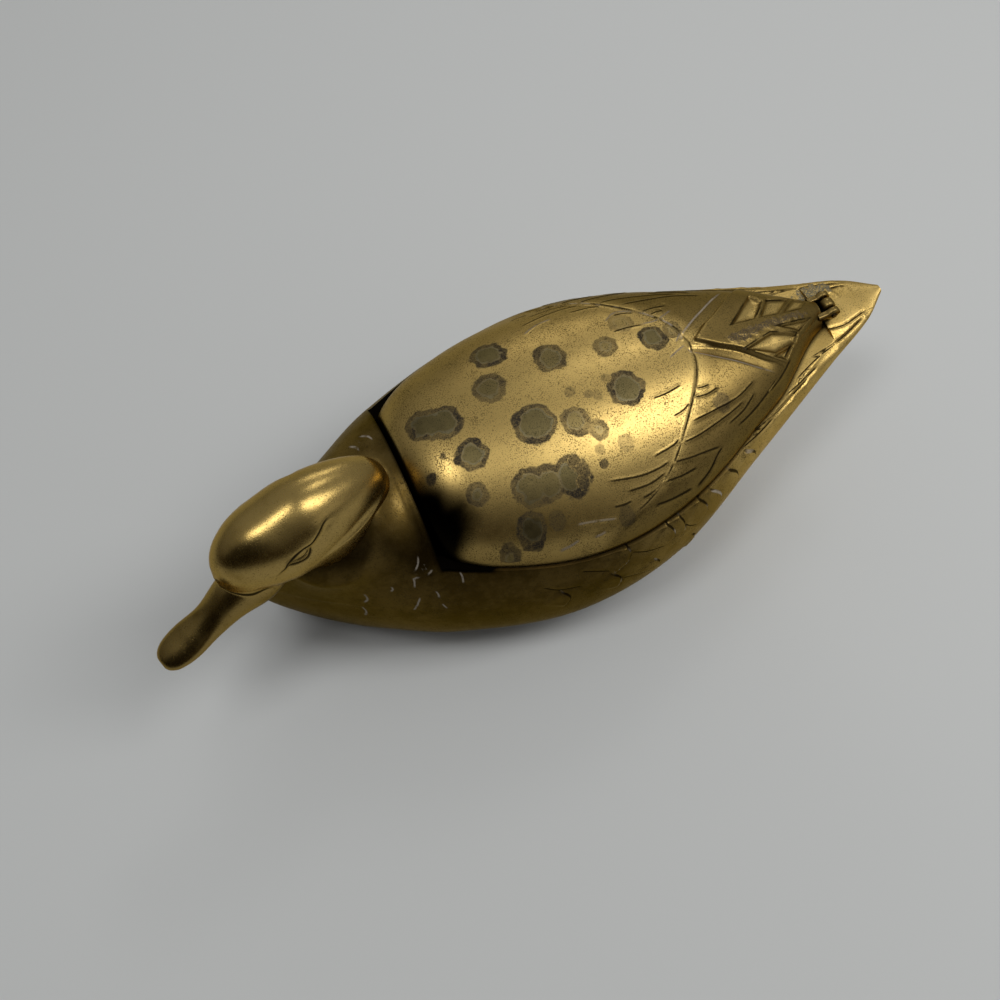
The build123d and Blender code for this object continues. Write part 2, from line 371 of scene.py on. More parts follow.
# %% Curves of the lid's carving
# Places along the duck and away from its middle
MANTLE_EDGE = (
    (48.4, 0), (47.4, 6), (44.2, 12), (37.5, 20), (31, 27),
    (24.5, 32), (16, 35.5), (2, 39), (-11, 46),
)
WING_RIB = ((48.6, 2.4), (54.5, 5.2), (60, 7.9), (66.6, 11.9), (71.5, 14.8))
COVERT_BED = (
    (50, 0), (56, 3.9), (61, 6.4), (67.7, 10.6), (74, 13.8), (80, 9.4), (89, 4.8), (94, 2.1),
)
WING_GROOVES = (
    ((37.5, 21.4), (46.5, 20.3), (55, 18.9), (63.5, 15.4)),
    ((32.8, 25.5), (39.6, 24.8), (50.5, 22.2), (57.5, 19.8)),
    ((28.1, 29.0), (35.4, 29.2), (45.8, 28.6)),
    ((45.8, 28.6), (43.3, 30.2), (39.5, 33.0), (33.9, 35.6)),
    ((23.6, 32.3), (30, 32.4), (36, 31.6)),
    ((19.9, 36.3), (26, 36.2), (33.4, 35.3)),
    ((43.2, 13.4), (45.5, 13.7), (48, 13.6)),
    ((41.5, 15.6), (46, 15.8), (50.3, 15.0)),
    ((52, 25.4), (58, 23.2), (64, 20.4), (71, 16.4)),
    ((66, 19.6), (72, 16.6), (78, 12.4)),
    ((49, 24.6), (56, 22.0), (61.5, 18.6)),
)
MANTLE_GROOVES = (
    ((7.9, 27.2), (17.9, 28.9), (24.1, 28.9), (28.3, 28.2)),
    ((13, 31.2), (20.4, 31.4), (26.1, 30.3)),
    ((16.7, 33.8), (21.9, 33.1), (24.8, 31.4)),
    ((23.6, 26.0), (30.2, 25.1), (33, 24.1)),
    ((8.3, 33.2), (11.6, 33.5), (14.2, 33.4)),
    ((34, 18.2), (37.4, 17.6), (40, 16.4)),
    ((30.3, 11.9), (35, 11.8), (40.5, 10.9)),
)
# Pale scratches, each on one side only: along the duck, across it
SCRATCHES = (
    ((-2.9, -33.3), (1.5, -34.1), (9, -35.7)),
    ((1.2, -37.1), (3, -37.2), (4.6, -37.1)),
    ((-9.1, -36.4), (-6, -36.5), (-3.2, -36.3)),
    ((30.5, 16.7), (35.5, 19.2), (41.9, 16.0)),
    ((39.2, 11.4), (44.7, 11.0), (50.2, 12.8)),
    ((45.4, 1.7), (47.0, 3.1), (48.4, 4.4)),
    ((40.9, -2.5), (44.2, -1.2), (47.2, -0.2)),
    ((7.7, 23.1), (13, 25.4), (18.2, 25.9)),
)
# Corners of the coverts that stand in the bed, three on the duck's right and three on its left
COVERTS = (
    ((63.5, 0.8), (71.2, 0.6), (77.2, 5.6), (75, 9.0)),
    ((73.3, 0.5), (79.4, 0.2), (87, 4.6), (79.2, 5.8)),
    ((81.3, 0.0), (88, 0.2), (91.6, 2.4), (88.2, 3.9)),
    ((63.3, -7.5), (73.5, -5.1), (81.9, -6.9), (80, -8.7), (72.1, -10.5)),
    ((71, -11.3), (78.6, -9.4), (74.6, -12.5)),
    ((77.5, -3.8), (88.5, -3.6), (83.5, -6.0)),
)
# Painted shade over the near side of the lid's front, for the dark neck that it mirrors: across the
# duck, how far back it reaches
DARK_FRONT = (
    (-31, -40), (-26.1, -32.4), (-22.5, -28.7), (-18.3, -28.6),
    (-10.5, -34.5), (-4, -38.4), (4, -41),
)
# Strip along the bed's middle where the coverts are rubbed away under crust
RUBBED_STRIP = ((56, -2.0), (63, -3.7), (72, -2.6), (80, -2.1), (90, -1.8))

# %% [markdown]
# ## Tarnish rings
# Drops once dried on the back. Each left an olive-grey disc with a dark ragged rim, and the
# smallest dried as solid spots. They are a list of places and radii on the plan, one for each drop,
# and a soft noise bends their outlines, so that no two rings look stamped.

# %% Places of the dried drops: x, y, radius, strength
DROPS = (
    (-4.5, 20.5, 5.0, 1.0), (10, 11, 4.6, 0.9), (26, 8, 3.3, 0.7), (40, 5.5, 4.0, 1.0),
    (-9.5, 9, 4.6, 0.9), (25, -6.5, 5.2, 1.0), (-30.5, 6.5, 4.4, 1.0), (-28, 5.4, 4.6, 1.0),
    (-25, 4.4, 4.9, 1.0), (-3, -6.5, 5.8, 1.0), (7.5, -10, 4.0, 0.8), (12.5, -14.5, 2.6, 0.7),
    (-22, -7.5, 4.3, 1.0), (-25, -17.5, 2.8, 0.9), (-11.2, -21.4, 4.9, 0.9), (-6, -22.2, 4.6, 0.9),
    (0.5, -22.8, 5.2, 1.0), (-14.9, -30.2, 3.9, 1.0), (-22.4, -33, 2.8, 0.8), (46.5, 6, 2.6, 0.6),
    (34.4, 14.2, 3.6, 0.45),
)
# Small drops that dried solid, and the dark end of the long one
SPOTS = (
    (-34.5, -8.5, 1.3, 1.0), (-29.3, -4.7, 0.7, 0.8), (10, -1.5, 1.4, 0.55), (18, -20.4, 2.0, 0.4),
    (10, -23, 1.0, 0.9), (-7.6, -30.6, 2.0, 0.8), (11.5, -35.9, 2.0, 0.8), (49.5, -19, 2.4, 0.6),
    (21.1, -1.4, 1.2, 0.5), (16.5, -5.6, 1.3, 0.5), (14.4, -4.4, 0.9, 0.6), (10.4, -19.5, 1.0, 0.4),
    (2.4, -20.0, 1.7, 1.0), (3.9, -22.6, 1.8, 1.0), (2.6, -25.3, 1.6, 1.0),
)


def tarnish(x, y, z):
    """Distance inside the nearest drop's wandering outline in millimetres, and its strength."""
    wander = ripple(3, 5.0, x, y, z) * 0.35 + ripple(4, 1.8, x, y, z) * 0.22
    inside, strength = np.full(x.shape, -4.0), np.zeros(x.shape)
    for place_x, place_y, radius, dark in DROPS:
        depth = radius - np.hypot(x - place_x, y - place_y) - wander * min(1.0, radius / 4)
        strength = np.where(depth > inside, dark, strength)
        inside = np.maximum(inside, depth)
    for place_x, place_y, radius, dark in SPOTS:
        depth = radius - np.hypot(x - place_x, y - place_y) - wander * 0.5
        over = depth > np.minimum(inside, -0.4)
        strength = np.where(over, dark, strength)
        inside = np.where(over, np.minimum(depth, 0.4), inside)
    return inside, strength


# %% [markdown]
# ## Carving the lid
# All tools work on one sheet of heights over the plan. The leaf-shaped coverts are flat pillows:
# they stand up steeply at their edges and swell only a little towards their middle, so that each
# top flashes as a whole. The distance in from a leaf's nearest side is all that this needs.

# %% Relief of the lid in millimetres, and what has settled on it
wing_drop, bed_drop = 0.5, 1.7
mantle_swell, rib_height = 0.16, 0.45


def inside_leaf(corners, x, y):
    """Distance in from the nearest straight side of a leaf, negative outside it."""
    points = np.array(corners, float)
    middle = points.mean(0)
    inside = np.full(x.shape, 99.0)
    for a, b in zip(points, np.roll(points, -1, axis=0)):
        along = (b - a) / np.linalg.norm(b - a)
        turn = np.sign(along[0] * (middle[1] - a[1]) - along[1] * (middle[0] - a[0]))
        inside = np.minimum(inside, turn * (along[0] * (y - a[1]) - along[1] * (x - a[0])))
    return inside


def covert_bed(x, y):
    """Share of the bed, height of its coverts, their edges, the rubbed strip and their wear."""
    bed_x, bed_w = np.array(COVERT_BED, float).T
    within = (np.interp(x, bed_x, bed_w, left=-5, right=-5) - np.abs(y)) * 0.85
    bed = ease(within / 0.6 + 0.5)
    leaf = np.max([inside_leaf(corners, x, y) for corners in COVERTS], axis=0)
    swell = 1 - (1 - np.clip(leaf / 2.6, 0, 1)) ** 2
    roof = ease(leaf / 0.5 + 0.5) * (0.80 + 0.65 * swell)
    edges = stroke(leaf + 0.2, bed * (0.35 + 0.65 * ease(ripple(23, 8.0, x, y) + 0.6)))
    gap, along, _ = from_curve(RUBBED_STRIP, x, y)
    half = (2.6 - 1.2 * along) * ease(along / 0.25) * ease((1.05 - along) / 0.15)
    strip = ease((half - gap + 0.5 * ripple(24, 3.0, x, y)) / 2.4 + 0.2) * ease(0.5 - leaf / 1.2)
    return bed, roof, edges, strip, bed * ease(leaf / 1.2)


def lid_relief(x, y):
    """Height of the carving against the plain dome, its nearest stroke, dirt and crust."""
    w = np.abs(y)
    fade = 1 - drawn_in(x)
    gap, _, side = from_curve(MANTLE_EDGE, x, w)
    behind = -gap * side
    before = np.minimum(behind, 0)
    # The mantle's edge is crisp on the back and goes soft towards the flanks
    crisp = ease((x - 4) / 16)
    mantle = ease(0.5 - behind / (6.0 - 4.8 * crisp))
    pillow = mantle_swell * (np.exp(before / 9.0) - np.exp(before / 1.4))
    height = mantle * pillow * crisp - (1 - mantle) * wing_drop * fade
    chalky = ease(y / 3 - 0.5) * ease(ripple(26, 5.0, x, y) * 2 + 0.2)
    edge = stroke(behind - 0.2, crisp * (0.5 + 0.5 * ease(ripple(22, 9.0, x, y) + 0.6)), chalky)
    dirt = 0.45 * np.exp(-((behind / 0.5) ** 2)) * crisp

    wing_height, wing_lines = engrave(WING_GROOVES, x, w, depth=0.18, shoulder=0.16)
    mantle_height, mantle_lines = engrave(MANTLE_GROOVES, x, w, depth=0.12, shoulder=0.05)
    scratch_height, scratch_lines = engrave(SCRATCHES, x, y, depth=0.10, pale=0.6)
    height += wing_height + mantle_height + scratch_height

    # A rib stands along each wing's inner edge, thickest halfway, with chalk on its outer side
    rib_gap, rib_along, rib_side = from_curve(WING_RIB, x, w)
    rib_half = 1.0 + 0.9 * np.sin(np.pi * rib_along)
    rib_end = ease((1 - rib_along) / 0.3)
    height += rib_height * ease((rib_half - rib_gap) / 0.8 + 0.3) * rib_end
    rib_line = stroke(rib_gap - rib_half, rib_end * (rib_side > 0), 0.8)

    # The bed of the coverts replaces all that
    bed, roof, edges, strip, _ = covert_bed(x, y)
    height = height * (1 - bed) + bed * (roof - bed_drop) * fade
    line = nearest(edge, wing_lines, mantle_lines, scratch_lines, rib_line)
    line = np.where(bed > 0.5, edges, line)
    crust = bed * strip
    height += crust * (0.12 * ripple(27, 2.5, x, y) - 0.1)
    return height, line, np.maximum(dirt * (1 - bed), 0.12 * bed), crust


def lid_shade(x, y):
    """Painted shade in the gap's edge, and over the near side's front for the mirrored dark neck,
    fading out within a centimetre.
    """
    dark_y, dark_x = np.array(DARK_FRONT, float).T
    front = ease((np.interp(y, dark_y, dark_x) + 0.8 * ripple(28, 9.0, x, y) - x) / 10.0 + 0.5)
    return np.maximum(front, 0.9 * ease((lid_front + 1.4 - x) / 1.0))


# %% [markdown]
# ## The lid
# The dome is a sheet whose rows run across the duck: up the steep front, over the back and down
# to the hinge. A second sheet closes it from below. It starts on the dome's own edge, crosses the
# flat rim and climbs into the hollow, ring by ring, until it meets itself along the middle.

# %% The lid's two sheets
lid_wall = 2.8
hollow_end = lid_tail_end - 18.0
spine_front, spine_end = lid_front + 22.0, lid_tail_end - 40.0
wings_start = 2.0


def lid_rows():
    """Place x and share of the full rise for each row: front face, round front, back, end face."""
    face = np.linspace(0, 1, 9)[:-1] ** 1.5
    bend = np.linspace(0, np.pi / 2, 34)[:-1]
    front = lid_front + lid_front_round * (1 - np.cos(bend))
    start = lid_front + lid_front_round
    mantle = np.linspace(start, wings_start, 50)[:-1]
    wings = np.linspace(wings_start, lid_tail_end, 236)
    end = np.linspace(1, 0, 5)[1:]
    first, last = np.full(len(face), lid_front), np.full(len(end), lid_tail_end)
    x = np.concatenate([first, front, mantle, wings, last])
    rise = np.concatenate([face, np.ones(len(front) + len(mantle) + len(wings)), end])
    return x, rise


def lid_dome(columns=231):
    """Points of the dome: ellipse angle across, lines plan along, each end lowered to the seam."""
    x, rise = lid_rows()
    half, widest, height = lid_form(x)
    floor = seam_height(x) + seam_gap
    lean = np.arccos((floor - widest) / height)
    angle = lean[:, None] * np.linspace(-1, 1, columns)
    across = half[:, None] * np.sin(angle)
    arc = widest[:, None] + height[:, None] * np.cos(angle)
    up = floor[:, None] + (arc - floor[:, None]) * rise[:, None]
    return np.stack([np.broadcast_to(x[:, None], up.shape), across, up], -1)


def lid_underside(edge, rings=14):
    """Rings from the dome's edge inwards: flat rim, then the hollow, one wall below the dome."""
    spine = np.clip(edge[:, 0], spine_front, spine_end)
    shares = np.concatenate([[0.0], np.linspace(0.10, 1.0, rings) ** 1.2])
    x = edge[:, 0] + (spine - edge[:, 0]) * shares[:, None]
    y = edge[:, 1] * (1 - shares[:, None])
    half, widest, height = lid_form(np.clip(x, lid_front + lid_wall, hollow_end))
    inner = 1 - (y / np.maximum(half - lid_wall, 1.0)) ** 2
    inside = (x > lid_front + lid_wall) & (x < hollow_end)
    ceiling = widest + (height - lid_wall) * np.sqrt(np.clip(inner, 0, 1))
    floor = seam_height(x) + seam_gap
    return np.stack([x, y, np.where(inside, np.maximum(ceiling, floor), floor)], -1)


# %% Build the lid
dome = lid_dome()
relief = lid_relief(dome[..., 0], dome[..., 1])[0]
away_from_rim = ease((dome[..., 2] - seam_height(dome[..., 0]) - seam_gap) / 2.0)
carved = dome - grid_normals(dome) * (relief * away_from_rim)[..., None]
edge_loop = np.concatenate([dome[:, 0], dome[-1, 1:-1], dome[::-1, -1], dome[0, -2:0:-1]])
under = lid_underside(edge_loop)
lid_points = np.concatenate([carved.reshape(-1, 3), under.reshape(-1, 3)])
dome_faces = sheet_faces(*dome.shape[:2])
under_faces = sheet_faces(len(under), len(edge_loop), carved[..., 0].size, wrap=True)
lid_faces = np.concatenate([dome_faces, under_faces])
lid_piece = make_piece("lid_casting", lid_points, lid_faces, raw_from=len(dome_faces))
print("lid:", len(lid_piece.data.vertices), "points,", len(lid_piece.data.polygons), "faces")

# %% Paint the lid
x, y, z = places(lid_piece)
outside = ease((z - seam_height(x) - 1.0) / 2.0)
_, line, dirt, crust = lid_relief(x, y)
depth, stain = tarnish(x, y, z)
drop = 0.5 + depth / 8.0
# Hands polish the mantle and the coverts' tops most, the wings, sides and far side less
edge_by_width = np.array(MANTLE_EDGE)[:, ::-1]
behind_mantle = ease((x - fair(edge_by_width, 1, np.clip(np.abs(y), 0, 46))) / 6.0)
polish = (0.85 - 0.50 * behind_mantle) * (0.40 + 0.60 * ease((z - seam_height(x)) / 12.0))
polish *= 1 - 0.35 * ease((y - 4.0) / 20.0)
polish = np.maximum(polish, covert_bed(x, y)[4])
paint(lid_piece, dirt=dirt * outside, crust=crust, polish=polish, drop=drop * outside, stain=stain)
# Painted shade: the lid's front on the near side and its edge in the gap are darkened to black
paint(lid_piece, shade=lid_shade(x, y))
paint_lines(lid_piece, line, outside)
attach(lid_piece, "duck_lid")
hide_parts("lid")
print(f"dark front on {(lid_shade(x, y) > 0.5).mean():.1%} of the lid's points")

# %% [markdown]
# ## The body's feathers
# Rounded feather ends lie along the flanks below the wing, with short sides between them. On the
# chest wear left only curled flecks, in which pale polish has dried. A repeating pattern would look
# printed, so each end is a drawn curve of its own, given in side view by its place along the duck
# and its height. Long barbs run down both edges of the tail, given in the plan.

# %% Curves of the body's carving
# Ends of the flank feathers and the sides between them, from below upwards: along the duck, height
FLANK_ENDS = (
    ((6.2, 30.5), (7.2, 35.2), (3.6, 40.0)),
    ((4.4, 38.6), (9.6, 41.6), (10.8, 45.0), (8.8, 48.4)),
    ((22.6, 39.6), (25.4, 42.4), (24.9, 45.2), (22.4, 48.4)),
    ((24.5, 37.6), (28.6, 40.4), (29.2, 44.2), (27.0, 48.8)),
    ((33.5, 39.2), (37.2, 42.0), (37.4, 45.2), (33.8, 49.6)),
    ((39.5, 36.0), (43.4, 39.6), (43.3, 44.0), (38.2, 49.6)),
    ((47.5, 38.0), (50.8, 41.6), (50.4, 45.6), (46.0, 50.0)),
    ((56.0, 42.0), (58.8, 44.2), (57.4, 47.2), (53.0, 50.4)),
    ((-10.5, 30.0), (-8.6, 34.6), (-11.5, 39.0)),
    ((18.2, 28.5), (20.6, 32.5), (18.0, 37.0)),
    ((31.0, 27.8), (34.2, 31.6), (32.4, 36.0)),
)
FLANK_SIDES = (
    ((-4.5, 44.2), (-0.5, 42.6), (4.0, 40.6)),
    ((10.9, 44.4), (16.0, 41.8), (22.4, 39.8)),
    ((-16.0, 41.8), (-11.6, 39.4), (-4.5, 38.4)),
    ((29.2, 43.6), (31.5, 41.0), (34.0, 39.4)),
    ((7.4, 34.8), (12.0, 32.8), (18.0, 30.4)),
)
# Curled ends of worn chest feathers, in which pale polish has dried: near side, then far side
CHEST_CURLS = (
    ((-62.3, 44), (-62, 40.9), (-63.2, 38.8)),
    ((-64.2, 35.9), (-63.6, 33), (-64.3, 29.7)),
    ((-54.8, 46.9), (-54.6, 46.0), (-55.3, 45.0)),
    ((-49.0, 46.5), (-48.5, 48.6), (-48.3, 49.6), (-46.6, 50.0)),
    ((-47.4, 51.9), (-45.9, 53.7), (-45.2, 55.4)),
    ((-44.3, 50.7), (-43.6, 51.1), (-43.0, 51.7)),
    ((-44, 45.2), (-43.6, 44), (-43.7, 42.4)),
    ((-36.2, 50.7), (-36, 49.1), (-36.3, 47.3)),
    ((-51.2, 36.6), (-49.8, 39.4), (-48.5, 42.8)),
    ((-43.3, 40.0), (-43.0, 39.0), (-42.5, 37.9)),
)
FAR_CURLS = (
    ((-46.3, 59.3), (-44.4, 60.7), (-43.7, 61.8)),
    ((-50.3, 59.3), (-48.8, 60.9), (-48.2, 61.8)),
)
# Grooves of the tail: along the duck, away from its middle
TAIL_BARBS = (
    ((95.7, 6.2), (102.3, 6.8), (110.5, 5.2)),
    ((86, 12.4), (98, 10.5), (109, 6.8)),
    ((78, 17.2), (88, 13.4), (97, 10.9)),
    ((72.4, 20.5), (80.4, 17.9), (87.4, 15.4)),
    ((65.2, 24.2), (74.9, 20.8), (83, 17.4)),
    ((58, 26.4), (68, 23.6), (76, 20.6)),
    ((52, 29.6), (60, 27.2), (67, 24.4)),
)
print(len(FLANK_ENDS) + len(FLANK_SIDES), "flank lines,", len(TAIL_BARBS), "barbs on each edge")

# %% Places on the body
cape_gap, barrel_radius = 0.9, 2.2
solder_x, solder_y = 99.5, 7.0
cape_edge = lid_front - cape_gap
bay_end = hinge_x - barrel_radius


def lid_edge(x):
    """Half width of the lid where it comes down to the rim."""
    place = np.clip(x, lid_front, lid_tail_end)
    half, widest, rise = lid_form(place)
    return half * np.sqrt(1 - ((seam_height(place) + seam_gap - widest) / rise) ** 2)


def section_turn(x, y, z):
    """Ellipse angle of a place on the body: 0 on the widest line, a quarter turn at the top."""
    half, widest, top, low = body_form(np.clip(x, breast_front, breast_front + body_length))
    rise = np.where(z > widest, (z - widest) / (top - widest), (z - widest) / (widest - low))
    return np.arctan2(rise, np.abs(y) / half)


# %% [markdown]
# ## Where the neck stands
# The neck is brazed on the chest, and the chest swells up to meet it. The swelling is worked out
# from the neck's own shape: how far outside the neck a place on the chest lies tells how much the
# chest rises there, dying away within a few millimetres as a fillet does.

# %% The head's frame and the neck's field
head_turn = np.radians(16.0)
head_x, head_y = breast_front + 18.4, -6.6
head_z = body_form(np.array([head_x]))[2][0] + 17.0
# Lift, middle on the head's line, half length, half width
NECK_LINES = (
    (-34, -14, 13, 11),
    (-26, -14, 15.2, 13),
    (-18, -13, 15.8, 13.6),
    (-10, -12, 14.5, 11.5),
    (-2, -10, 12.5, 9.5),
)


def beside_head(x, y, z):
    """Distance along the head's line, beside it and above it, of a place in the duck's frame."""
    along = -((x - head_x) * np.cos(head_turn) + (y - head_y) * np.sin(head_turn))
    return along, (x - head_x) * np.sin(head_turn) - (y - head_y) * np.cos(head_turn), z - head_z


def neck(distance, side, lift):
    """Field of the upright neck: level ellipses that flare like a trumpet down to the chest."""
    level = np.clip(lift, NECK_LINES[0][0], NECK_LINES[-1][0])
    middle, long, wide = (fair(NECK_LINES, column, level) for column in (1, 2, 3))
    field = (np.hypot((distance - middle) / long, side / wide) - 1) * np.minimum(long, wide)
    return field + np.abs(lift - level) * 2


# %% Relief of the body in millimetres, and what has settled on it
def body_relief(x, y, z):
    """Height of the carving against the plain body, its nearest stroke, painted shade and crust."""
    turn = section_turn(x, y, z)
    upper, side = ease((turn - 0.1) / 0.3), ease((0.95 - turn) / 0.2)
    barb_height, barb_lines = engrave(TAIL_BARBS, x, np.abs(y), depth=0.4, shoulder=0.35)
    chalky = ease(ripple(13, 6.0, x, y, z) * 1.8 - 0.4) * ease((70 - x) / 20)
    end_height, end_lines = engrave(
        FLANK_ENDS, x, z, depth=0.35, shoulder=0.55, pale=chalky, reach=4.0
    )
    side_height, side_lines = engrave(FLANK_SIDES, x, z, depth=0.22, shoulder=0.12)
    curl_cut = {"depth": 0.15, "shoulder": 0.15, "pale": 0.9}
    curl_height, curl_lines = engrave(CHEST_CURLS, x, z, **curl_cut)
    far_height, far_lines = engrave(FAR_CURLS, x, z, **curl_cut)
    curl_lines[2] *= y < 0
    far_lines[2] *= y > 0
    rim = seam_height(np.clip(x, lid_front, hinge_x)) - 0.4
    clear_of_rim = np.maximum(ease((rim - z) / 1.2), x > bay_end)
    barb_height *= upper * clear_of_rim
    height = barb_height + (end_height + side_height) * side
    height += np.where(y < 0, curl_height, far_height)
    barb_lines[2] *= upper
    end_lines[2] *= side
    side_lines[2] *= side
    line = nearest(barb_lines, end_lines, side_lines, np.where(y < 0, curl_lines, far_lines))

    # Painted shade: under the lid and a little beyond its front corners the rim is black, as in a
    # gap
    front_corner = 6.0 * ease((lid_front + lid_front_round - x) / 8)
    under_lid = ease((lid_edge(x) - np.abs(y) + front_corner) / 1.8 + 0.9)
    under_lid *= ease((x - cape_edge + 1) / 0.5) * ease((hinge_x - x) / 3)
    shade = under_lid * ease((z - seam_height(x) + 1.0) / 0.5)
    # A bead runs along the cape's edge, and solder has crusted beside the hinge
    height += 0.4 * np.exp(-(((x - cape_edge + 0.6) / 1.2) ** 2)) * ease((turn - 0.5) / 0.3)
    from_solder = np.hypot((x - solder_x) / 5.0, (y - solder_y) / 3.6)
    crust = ease(1.5 - from_solder + 0.4 * ripple(14, 3.0, x, y, z)) * upper
    height += crust * (0.3 + 0.2 * ripple(15, 2.5, x, y, z) - barb_height)
    line[2] *= 1 - crust
    # The chest swells up to the neck, more on top and on the duck's left
    along, beside, above = beside_head(x, y, z)
    outside_neck = np.maximum(neck(along, beside, above), 0)
    swell = (2.5 + 4.5 * ease((turn - 0.4) / 0.7)) * (0.4 + 0.6 * ease(beside / 8 + 0.8))
    fillet = swell * np.exp(-outside_neck / 6.0)
    height += fillet * ease((cape_edge - 1 - x) / 8) * ease((turn - 0.1) / 0.5)
    return height, line, shade, crust


# %% [markdown]
# ## The body
# The outer skin is carved first, as one closed sheet from breast to tail. The bay for the lid and
# the hollow are then cut out of it with Boolean modifiers, as the real rim was sawn and filed
# after casting. Cutting last keeps every edge crisp, and what is on the skin stays as it was.

# %% Sections, tubes and cuts
def section_loop(half, widest, top, low, angle):
    """Points round a section: upper half ellipse above the widest line, lower half below."""
    rise = np.sin(angle)
    tall = np.where(rise > 0, (top - widest)[:, None], (widest - low)[:, None])
    return half[:, None] * np.cos(angle), widest[:, None] + tall * rise


def closed_tube(x, y, z):
    """Points of a tube with a pole at each end, rows along x and columns round it."""
    return with_poles(np.stack([np.broadcast_to(x[:, None], y.shape), y, z], -1))


def cut_away(piece, cutter):
    """Boolean difference, applied, after which the cutter is thrown away."""
    tool = piece.modifiers.new("cut", "BOOLEAN")
    tool.operation, tool.object, tool.solver = "DIFFERENCE", cutter, "MANIFOLD"
    graph = bpy.context.evaluated_depsgraph_get()
    cut = bpy.data.meshes.new_from_object(piece.evaluated_get(graph))
    piece.modifiers.clear()
    piece.data = cut
    bpy.data.objects.remove(cutter)


# %% Carve the outer skin
breast_round, flank_start = 14.0, -12.0
breast_x = breast_front + breast_round * (1 - np.cos(np.linspace(0, np.pi / 2, 22)))[:-1]
chest_x = np.linspace(breast_front + breast_round, flank_start, 74)[:-1]
flank_x = np.linspace(flank_start, breast_front + body_length, 250)
row_x = np.concatenate([breast_x, chest_x, flank_x])
low_turn, high_turn = 0.35, 0.75
right_flank = np.linspace(-low_turn, high_turn, 86)[:-1]
back = np.linspace(high_turn, np.pi - high_turn, 50)[:-1]
left_flank = np.linspace(np.pi - high_turn, np.pi + low_turn, 86)[:-1]
underneath = np.linspace(np.pi + low_turn, 2 * np.pi - low_turn, 31)[:-1]
angles = np.concatenate([right_flank, back, left_flank, underneath])[None, :]
skin_y, skin_z = section_loop(*body_form(row_x), angles)
skin = closed_tube(row_x, skin_y, np.maximum(skin_z, 0.0))
relief = body_relief(skin[..., 0], skin[..., 1], skin[..., 2])[0]
relief *= ease(skin[..., 2] / 6.0)
skin = skin + outward_normals(skin) * relief[..., None]
body_edge = 50.0
body_piece = make_tube("body_casting", skin, body_edge)
print("skin:", len(row_x), "rows of", angles.size, "points")

# %% Cut the hollow and the bay for the lid
base_wall, body_wall = 3.5, 3.0
hollow_front, hollow_rear = breast_front + 9.4, breast_front + body_length - 35.6
hollow_x = np.linspace(hollow_front, hollow_rear, 60)
half, widest, top, low = body_form(hollow_x)
inner = half - body_wall, widest, top - body_wall, low + body_wall
hollow_y, hollow_z = section_loop(*inner, np.linspace(0, 2 * np.pi, 73)[:-1][None, :])
hollow = closed_tube(hollow_x, hollow_y, np.maximum(hollow_z, base_wall))
hollow_cutter = make_tube("hollow", hollow, raw_from=0)

bay_half, bay_top = 52.0, 120.0
bay_x = np.linspace(cape_edge, bay_end, 140)
across = np.linspace(-bay_half, bay_half, 140)
bay_y = np.broadcast_to(np.concatenate([across, across[::-1]]), (len(bay_x), 2 * len(across)))
shelf = np.broadcast_to(seam_height(bay_x)[:, None], (len(bay_x), len(across)))
bay = closed_tube(bay_x, bay_y, np.concatenate([shelf, np.full_like(shelf, bay_top)], 1))
bay_cutter = make_tube("bay", bay)
cut_away(body_piece, hollow_cutter)
cut_away(body_piece, bay_cutter)
weld(body_piece.data, body_edge)
print("body:", len(body_piece.data.vertices), "points,", len(body_piece.data.polygons), "faces")

# %% Paint the body
x, y, z = places(body_piece)
_, line, shade, crust = body_relief(x, y, z)
# The breast is brown, the flanks grow brighter towards the tail, and the cape a little. This is
# partly wear and partly a painted sheen, for the pale floor that the rear flank mirrors
polish = 0.08 + 0.42 * ease((x + 5) / 50) + 0.50 * ease((x - 35) / 30)
polish += 0.12 * ease((section_turn(x, y, z) - 0.8) / 0.4) * ease(-x / 10)
paint(body_piece, crust=crust, polish=polish, shade=shade)
paint_lines(body_piece, line)
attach(body_piece, "duck_body")
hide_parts("body_shell")
print(f"polish from {polish.min():.2f} at the breast to {polish.max():.2f} at the tail")

# %% [markdown]
# ## The head
# Skull, bill and neck flow into one another, which three crossing tubes would not. So each is a
# field that is negative inside, and the three fields are melted together: where two are about
# equal, the melted one is lower than both, and that fills the corner with a fillet. Metaballs work
# in the same way, but a field of one's own can follow stations and keep the brow's exact outline.

# %% Fields of skull and bill
# Distance along the head's line, half width, half height, lift of the middle, its place aside
SKULL_LINES = (
    (-29.2, 0.6, 1.0, -6.2, 0), (-28.2, 3.2, 4.6, -6.0, 0), (-25.2, 6.2, 8.2, -4.6, 0),
    (-16, 9.4, 11.8, -2.0, 0), (-4, 11.3, 14.0, 0.0, 0), (6, 11.6, 13.6, -0.4, -0.4),
    (12, 10.4, 12.2, 0.0, -1.0), (17, 8.2, 9.8, 0.2, -1.4), (20.5, 5.8, 7.2, 0.0, -1.6),
    (22.6, 3.2, 4.2, -0.4, -1.7), (23.6, 0.6, 0.8, -0.6, -1.7),
)
BILL_LINES = (
    (1, 6.4, 7.4, -3.6, 0), (8, 7.2, 8.2, -6.8, 0), (15, 7.5, 8.5, -9.8, 0),
    (24, 5.9, 6.4, -12.2, 0), (31.5, 5.0, 4.6, -16.0, 0), (39, 5.5, 3.5, -18.0, 0),
    (44.2, 4.8, 2.7, -19.0, 0), (46.8, 3.2, 1.8, -19.4, 0), (47.9, 1.2, 0.8, -19.6, 0),
)
# The forehead's front end stands on the bill: height of its widest line, and a level in the bill
forehead_lift, bill_level = -0.5, -11.0


def on_head_line(distance, side, lift):
    """Place in the duck's frame of a point given along, beside and above the head's line."""
    x = head_x - distance * np.cos(head_turn) + side * np.sin(head_turn)
    y = head_y - distance * np.sin(head_turn) - side * np.cos(head_turn)
    return np.stack(np.broadcast_arrays(x, y, head_z + lift), -1)


